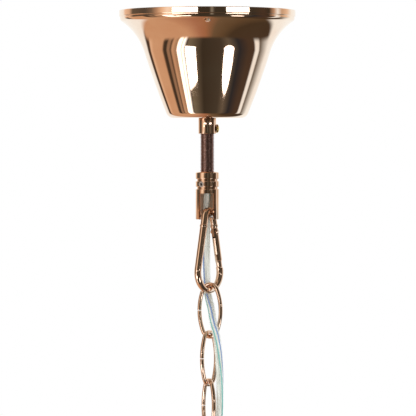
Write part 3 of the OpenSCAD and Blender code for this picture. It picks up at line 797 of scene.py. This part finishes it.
def bead(bm, centre, along, radius, length):
    """A short rounded swell round the bar."""
    along = Vector(along).normalized()
    edges = ring(bm, BAR_R - 0.1, centre - along * length / 2 * MM, along)
    first = list(edges)
    for k in range(1, 9):
        share = k / 8
        made = bmesh.ops.extrude_edge_only(bm, edges=edges)["geom"]
        swell = BAR_R - 0.1 + (radius - BAR_R + 0.1) * math.sin(math.pi * share) ** 0.5
        if share == 1:
            swell = BAR_R - 0.1
        for v in verts_of(made):
            out = v.co - centre
            out = (out - along * out.dot(along)).normalized()
            v.co = centre + along * (share - 0.5) * length * MM + out * swell * MM
        edges = edges_of(made)
    cap(bm, first)
    cap(bm, edges)


NECK_R = 2.1            # the nose is thinner between the gate and its slanted shoulder
NECK_SLANT = math.tan(math.radians(22))
TONGUE_T = 2            # thickness of the tongues at the gate's two ends


def make_hook():
    bm = bmesh.new()
    nose = leg_point(GATE_END + END_AIR + 0.3)
    edges = ring(bm, NECK_R, nose, LEG_DOWN)
    start = list(edges)
    neck_end = leg_point(LEG_LEN - 1)
    edges = straight(bm, edges, neck_end - nose, 2)
    for grow in (0, 0.32, 0.4):
        made = bmesh.ops.extrude_edge_only(bm, edges=edges)["geom"]
        for v in verts_of(made):
            out = v.co - LEG_DOWN * (v.co - neck_end).dot(LEG_DOWN) - neck_end
            radial = out.normalized()
            lift = radial.x * NECK_SLANT * NECK_R
            shift = lift * (1 if grow < 0.4 else 0.6) + (0.15 if grow else 0) + grow * 0.6
            v.co = neck_end + radial * (NECK_R + grow) * MM + LEG_DOWN * shift * MM
        edges = edges_of(made)
    made = bmesh.ops.extrude_edge_only(bm, edges=edges)["geom"]
    for v in verts_of(made):
        out = v.co - leg_point(LEG_LEN)
        radial = (out - LEG_DOWN * out.dot(LEG_DOWN)).normalized()
        v.co = leg_point(LEG_LEN) + radial * BAR_R * MM
    edges = edges_of(made)
    turn = math.degrees(LEG_LEAN)
    edges = bend(bm, edges, mm(0, 0, LOW_BEND_Z - TOP_BEND_Z), (0, 1, 0), 180 + 2 * turn, 72)
    plain_leg = Vector((math.sin(LEG_LEAN), 0, math.cos(LEG_LEAN))) * LEG_LEN * MM
    edges = straight(bm, edges, plain_leg, 6)
    edges = bend(bm, edges, Vector(), (0, 1, 0), 180 - 2 * turn, 40)
    edges = straight(bm, edges, LEG_DOWN * (GATE_START - 0.3) * MM, 2)
    round_end(bm, edges, leg_point(GATE_START - 0.3), LEG_DOWN, BAR_R, 0.3)
    round_end(bm, start, nose, -LEG_DOWN, BAR_R, 0.3)
    reach = TONGUE_REACH
    side = BAR_R - 0.1
    arc = [(reach * math.sin(a), RIVET_AT + reach * math.cos(a))
           for a in (math.asin(side / reach) * k / 6 for k in range(6, -7, -1))]
    tongue(bm, [(-side, GATE_START - 1), (side, GATE_START - 1)] + arc, TONGUE_T)
    notch = 0.85
    latch = GATE_END - 2.2
    tongue(bm, [(-side, GATE_END + END_AIR + 1), (-side, GATE_END - LATCH_REACH),
                (side, GATE_END - LATCH_REACH), (side, latch - notch), (-notch, latch - notch),
                (-notch, latch + notch), (side, latch + notch),
                (side, GATE_END + END_AIR + 1)], TONGUE_T)
    for mirror in (Vector((1, 1, 1)), Vector((-1, 1, 1))):
        bead(bm, leg_point(GATE_START - 1.5) * mirror, LEG_DOWN * mirror, BAR_R + 0.32, 2.2)
    moved(bm, on_hook())
    return finish_mesh(bm, "snap_hook_bar", "bar", "snap_hook", ("carabiner_body",))


# ---------------------------------------------------------------- chain

def make_link(node, body):
    """An oval link of four arcs, its butt joint left open half way up one side."""
    turn, x, y = LINKS[node]
    low, high = low_high(node)
    side_x = LINK_SIDE_R - LINK_R
    side_turn = math.degrees(math.atan2(LINK_END_Z, side_x))
    gap_turn = math.degrees((LINK_GAP / 2 + 0.12) / LINK_SIDE_R)
    bm = bmesh.new()
    edges = ring(bm, WIRE_R - LINK_AIR, mm(-LINK_R, 0, 0), UP)
    lean = math.radians(gap_turn)
    bmesh.ops.rotate(bm, cent=mm(side_x, 0, 0), matrix=Matrix.Rotation(lean, 3, "Y"),
                     verts=bm.verts)
    start = list(edges)
    edges = bend(bm, edges, mm(side_x, 0, 0), (0, 1, 0), side_turn - gap_turn, 14)
    edges = bend(bm, edges, mm(0, 0, LINK_END_Z), (0, 1, 0), 180 - 2 * side_turn, 36)
    edges = bend(bm, edges, mm(-side_x, 0, 0), (0, 1, 0), 2 * side_turn, 28)
    edges = bend(bm, edges, mm(0, 0, -LINK_END_Z), (0, 1, 0), 180 - 2 * side_turn, 36)
    edges = bend(bm, edges, mm(side_x, 0, 0), (0, 1, 0), side_turn - gap_turn, 14)
    for ends, sign in ((edges, 1), (start, -1)):
        centre = sum((v.co for e in ends for v in e.verts), Vector()) / (2 * len(ends))
        round_end(bm, ends, centre, (-sign * math.sin(lean), 0, sign * math.cos(lean)),
                  WIRE_R - LINK_AIR, 0.12)
    moved(bm, Matrix.Translation(mm(x, y, (low.z + high.z) / 2))
          @ Matrix.Rotation(math.radians(turn), 4, "Z"))
    return finish_mesh(bm, node + "_wire", "wire", body, (node,))


# ---------------------------------------------------------------- small hardware

def same_shape(node, material, body):
    """The CAD node's own shape, welded, shaded smooth with crisp creases."""
    bm = bmesh.new()
    bm.from_mesh(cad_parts[node].data)
    return finish_mesh(bm, node + "_part", material, body, (node,))


make_canopy()
make_stem()
make_collar()
make_collar_screw()
make_coupling()
make_hook()
for link in LINKS:
    make_link(link, link.replace("chain_", ""))

for node, material, body, slot in (
        ("carabiner_gate", "bar", "gate", "rose_copper"),
        ("gate_rivet", "bar", "snap_hook", "rose_copper"),
        ("gate_latch_pin", "steel", "gate", "steel"),
        ("gate_spring", "steel", "gate", "steel"),
        ("gate_plunger", "steel", "gate", "steel"),
        ("coupling_set_screw", "dark_steel", "fixture", "steel"),
        ("cross_pin", "dark_steel", "fixture", "steel"),
        ("ceiling_bracket", "steel", "fixture", "steel"),
        ("stem_top_nut", "steel", "fixture", "steel"),
        ("stem_lock_nut", "steel", "fixture", "steel"),
        ("lock_washer", "steel", "fixture", "steel"),
        ("cord_grip", "nylon", "fixture", "clear_nylon"),
        ("cord_grip_screw", "nylon", "fixture", "clear_nylon"),
        ("terminal_housing", "white_nylon", "fixture", "white_nylon"),
        ("terminal_sleeves", "brass", "fixture", "brass"),
        ("terminal_screws", "steel", "fixture", "steel"),
        ("terminal_fixing_screw", "steel", "fixture", "steel"),
        ("earth_screw", "brass", "fixture", "brass"),
        ("earth_washer", "steel", "fixture", "steel"),
        ("earth_nut", "steel", "fixture", "steel"),
        ("connector_body", "white_nylon", "link_3", "white_nylon"),
        ("gland_nut", "nylon", "link_3", "clear_nylon"),
        ("connector_contacts", "brass", "link_3", "brass")):
    piece = same_shape(node, material, body)


# ---------------------------------------------------------------- floor and studio

def make_floor():
    bm = bmesh.new()
    bmesh.ops.create_circle(bm, cap_ends=True, segments=96, radius=0.45)
    bmesh.ops.translate(bm, verts=bm.verts, vec=(0, 0, -2.2))
    mesh = bpy.data.meshes.new("floor")
    bm.to_mesh(mesh)
    bm.free()
    mesh.materials.append(MATERIALS["floor"])
    floor = bpy.data.objects.new("floor", mesh)
    scene.collection.objects.link(floor)
    floor.visible_glossy = False


WHITE, CREAM, TAN = (3.0, 3.0, 3.0), (1.05, 1.2, 1.3), (0.70, 0.46, 0.30)
BROWN, DARK, SHADE = (0.36, 0.24, 0.16), (0.05, 0.042, 0.03), (0.14, 0.12, 0.09)
SLATE, UMBER = (0.03, 0.032, 0.038), (0.08, 0.055, 0.038)
# The room as the metal sees it: degrees round from the camera's side, positive to the right.
ROUND_THE_ROOM = [
    (-180, CREAM), (-141, CREAM), (-137, UMBER), (-130, UMBER), (-127, (0.9, 0.66, 0.48)),
    (-118, TAN), (-96, TAN), (-92, UMBER), (-86, DARK), (-83, BROWN), (-79, BROWN), (-76, UMBER),
    (-72, TAN), (-63, BROWN), (-60, WHITE), (-55, WHITE), (-53, BROWN), (-51, WHITE),
    (-47, CREAM), (-44, UMBER), (-40, (0.2, 0.18, 0.13)), (-22, (0.11, 0.095, 0.07)), (-10, DARK),
    (30, (0.07, 0.06, 0.045)), (46, SHADE), (66, SLATE), (88, UMBER), (100, UMBER), (104, CREAM),
    (111, CREAM), (115, SHADE), (140, CREAM),
]
# The same turn of the room at eye level, which upright faces see.
LEVEL = [
    (-180, CREAM), (-142, CREAM), (-134, (0.95, 0.72, 0.56)), (-122, (0.75, 0.54, 0.40)),
    (-114, SHADE), (-88, (0.10, 0.085, 0.07)), (-77, (0.20, 0.15, 0.11)),
    (-69, (0.52, 0.34, 0.23)), (-61, (0.95, 0.70, 0.50)), (-53, (1.1, 1.0, 0.9)),
    (-40, (1.0, 0.8, 0.6)), (-28, (0.16, 0.11, 0.08)), (-16, DARK), (3, DARK),
    (6, (0.30, 0.30, 0.26)), (9, DARK), (22, DARK), (34, (0.15, 0.12, 0.09)), (46, SHADE),
    (60, DARK), (78, UMBER), (88, DARK), (97, (0.60, 0.42, 0.30)), (104, CREAM),
    (113, (0.66, 0.50, 0.36)), (126, (0.9, 0.72, 0.56)), (142, CREAM),
]
# What lies below, from left to right.
BELOW = [
    (-1.0, TAN), (-0.35, (0.66, 0.42, 0.27)), (-0.14, (0.46, 0.24, 0.15)),
    (-0.03, (0.40, 0.20, 0.11)), (0.12, (0.17, 0.12, 0.07)), (0.3, (0.13, 0.09, 0.05)),
    (0.45, (0.07, 0.05, 0.03)), (1.0, UMBER),
]

ABOVE = (0.5, 0.38, 0.28)
# Where one part of the room fades into the next, as heights of the direction looked in.
LEVEL_FADE, ABOVE_FADE = (-0.16, -0.07), (0.72, 0.9)
# What lies below takes over along a direction that leans away from the camera, but not behind.
BELOW_LEAN, BELOW_FADE, BEHIND_FADE = 0.4, (0.60, 0.72), (0.72, 0.60)
FILL, FILL_STRENGTH = (1, 0.985, 0.96, 1), 1.05


def make_studio():
    world = bpy.data.worlds.new("studio")
    world.use_nodes = True
    scene.world = world
    tree = world.node_tree
    tree.nodes.clear()

    def add(kind, **settings):
        node = tree.nodes.new(kind)
        for key, value in settings.items():
            setattr(node, key, value)
        return node

    def link(source, target):
        tree.links.new(source, target)

    place = add("ShaderNodeTexCoord").outputs["Generated"]
    split = add("ShaderNodeSeparateXYZ")
    link(place, split.inputs[0])
    back = add("ShaderNodeMath", operation="MULTIPLY")
    back.inputs[1].default_value = -1
    link(split.outputs["Y"], back.inputs[0])
    round_angle = add("ShaderNodeMath", operation="ARCTAN2")
    link(split.outputs["X"], round_angle.inputs[0])
    link(back.outputs[0], round_angle.inputs[1])
    fit = add("ShaderNodeMapRange")
    fit.inputs["From Min"].default_value = -math.pi
    fit.inputs["From Max"].default_value = math.pi
    link(round_angle.outputs[0], fit.inputs["Value"])

    def ramp(source, stops):
        ramp = add("ShaderNodeValToRGB")
        elements = ramp.color_ramp.elements
        while len(elements) < len(stops):
            elements.new(0.5)
        for element, (at, tone) in zip(elements, stops):
            element.position = at
            element.color = (*tone, 1)
        link(source, ramp.inputs["Fac"])
        return ramp.outputs["Color"]

    def fade(source, low, high):
        """Nought at low, one at high, smooth between."""
        step = add("ShaderNodeMapRange", interpolation_type="SMOOTHSTEP")
        step.inputs["From Min"].default_value = low
        step.inputs["From Max"].default_value = high
        link(source, step.inputs["Value"])
        return step.outputs[0]

    def times(a, b, plus=None):
        """The product of two sources, with a third added where there is one."""
        product = add("ShaderNodeMath", operation="MULTIPLY" if plus is None else "MULTIPLY_ADD")
        for source, socket in zip((a, b, plus), product.inputs):
            if hasattr(source, "links"):
                link(source, socket)
            elif source is not None:
                socket.default_value = source
        return product.outputs[0]

    def mixed(fac, under, over):
        mix = add("ShaderNodeMix", data_type="RGBA")
        link(fac, mix.inputs[0])
        for source, socket in ((under, mix.inputs[6]), (over, mix.inputs[7])):
            if hasattr(source, "links"):
                link(source, socket)
            else:
                socket.default_value = (*source, 1)
        return mix.outputs[2]

    shade, level = (
        ramp(fit.outputs[0], [((degrees + 180) / 360, tone) for degrees, tone in around])
        for around in (ROUND_THE_ROOM, LEVEL))
    shade = mixed(fade(split.outputs["Z"], *LEVEL_FADE), shade, level)
    across = add("ShaderNodeMapRange")
    across.inputs["From Min"].default_value = -1
    link(split.outputs["X"], across.inputs["Value"])
    below = ramp(across.outputs[0], [((x + 1) / 2, tone) for x, tone in BELOW])
    shade = mixed(fade(split.outputs["Z"], *ABOVE_FADE), shade, ABOVE)
    downward = times(split.outputs["Z"], -1, times(split.outputs["Y"], BELOW_LEAN))
    not_behind = fade(split.outputs["Y"], *BEHIND_FADE)
    shade = mixed(times(fade(downward, *BELOW_FADE), not_behind), shade, below)
    light = add("ShaderNodeBackground")
    link(shade, light.inputs["Color"])
    fill = add("ShaderNodeBackground")
    fill.inputs["Color"].default_value = FILL
    fill.inputs["Strength"].default_value = FILL_STRENGTH
    paper = add("ShaderNodeBackground")
    paper.inputs["Color"].default_value = (1, 1, 1, 1)
    seen = add("ShaderNodeLightPath")
    shown = light.outputs[0]
    for rays, other in (("Is Diffuse Ray", fill), ("Is Camera Ray", paper)):
        mix = add("ShaderNodeMixShader")
        link(seen.outputs[rays], mix.inputs[0])
        link(shown, mix.inputs[1])
        link(other.outputs[0], mix.inputs[2])
        shown = mix.outputs[0]
    link(shown, add("ShaderNodeOutputWorld").inputs["Surface"])


def softbox(name, round_to, low, high, width, strength, distance=0.9, outline="RECTANGLE"):
    """An upright light that many degrees round from the camera, which the camera doesn't see.

    low and high are the heights of its edges, and distance is from the stem, all in metres.
    """
    data = bpy.data.lights.new(name, "AREA")
    data.shape = outline
    data.size, data.size_y = width, high - low
    area = width * (high - low) * (math.pi / 4 if outline == "ELLIPSE" else 1)
    data.energy = strength * math.pi * area
    turn = math.radians(round_to)
    lamp = bpy.data.objects.new(name, data)
    aim = Vector((-math.sin(turn), math.cos(turn), 0))
    lamp.matrix_world = (Matrix.Translation(-aim * distance + UP * (low + high) / 2)
                         @ aim.to_track_quat("-Z", "Y").to_matrix().to_4x4())
    lamp.visible_camera = False
    scene.collection.objects.link(lamp)


make_floor()
make_studio()
softbox("left_rim_softbox", -29, 0.11, 0.185, 1.8, 4, distance=3)
softbox("right_rim_softbox", 40, 0.11, 0.185, 1.66, 4, distance=3)
softbox("collar_softbox", -41, -0.075, -0.045, 0.17, 3)
softbox("left_low_softbox", -33, -0.71, -0.45, 0.33, 4)
softbox("right_low_softbox", 43, -0.72, -0.45, 0.32, 4, outline="ELLIPSE")
scene.view_settings.view_transform = "Standard"
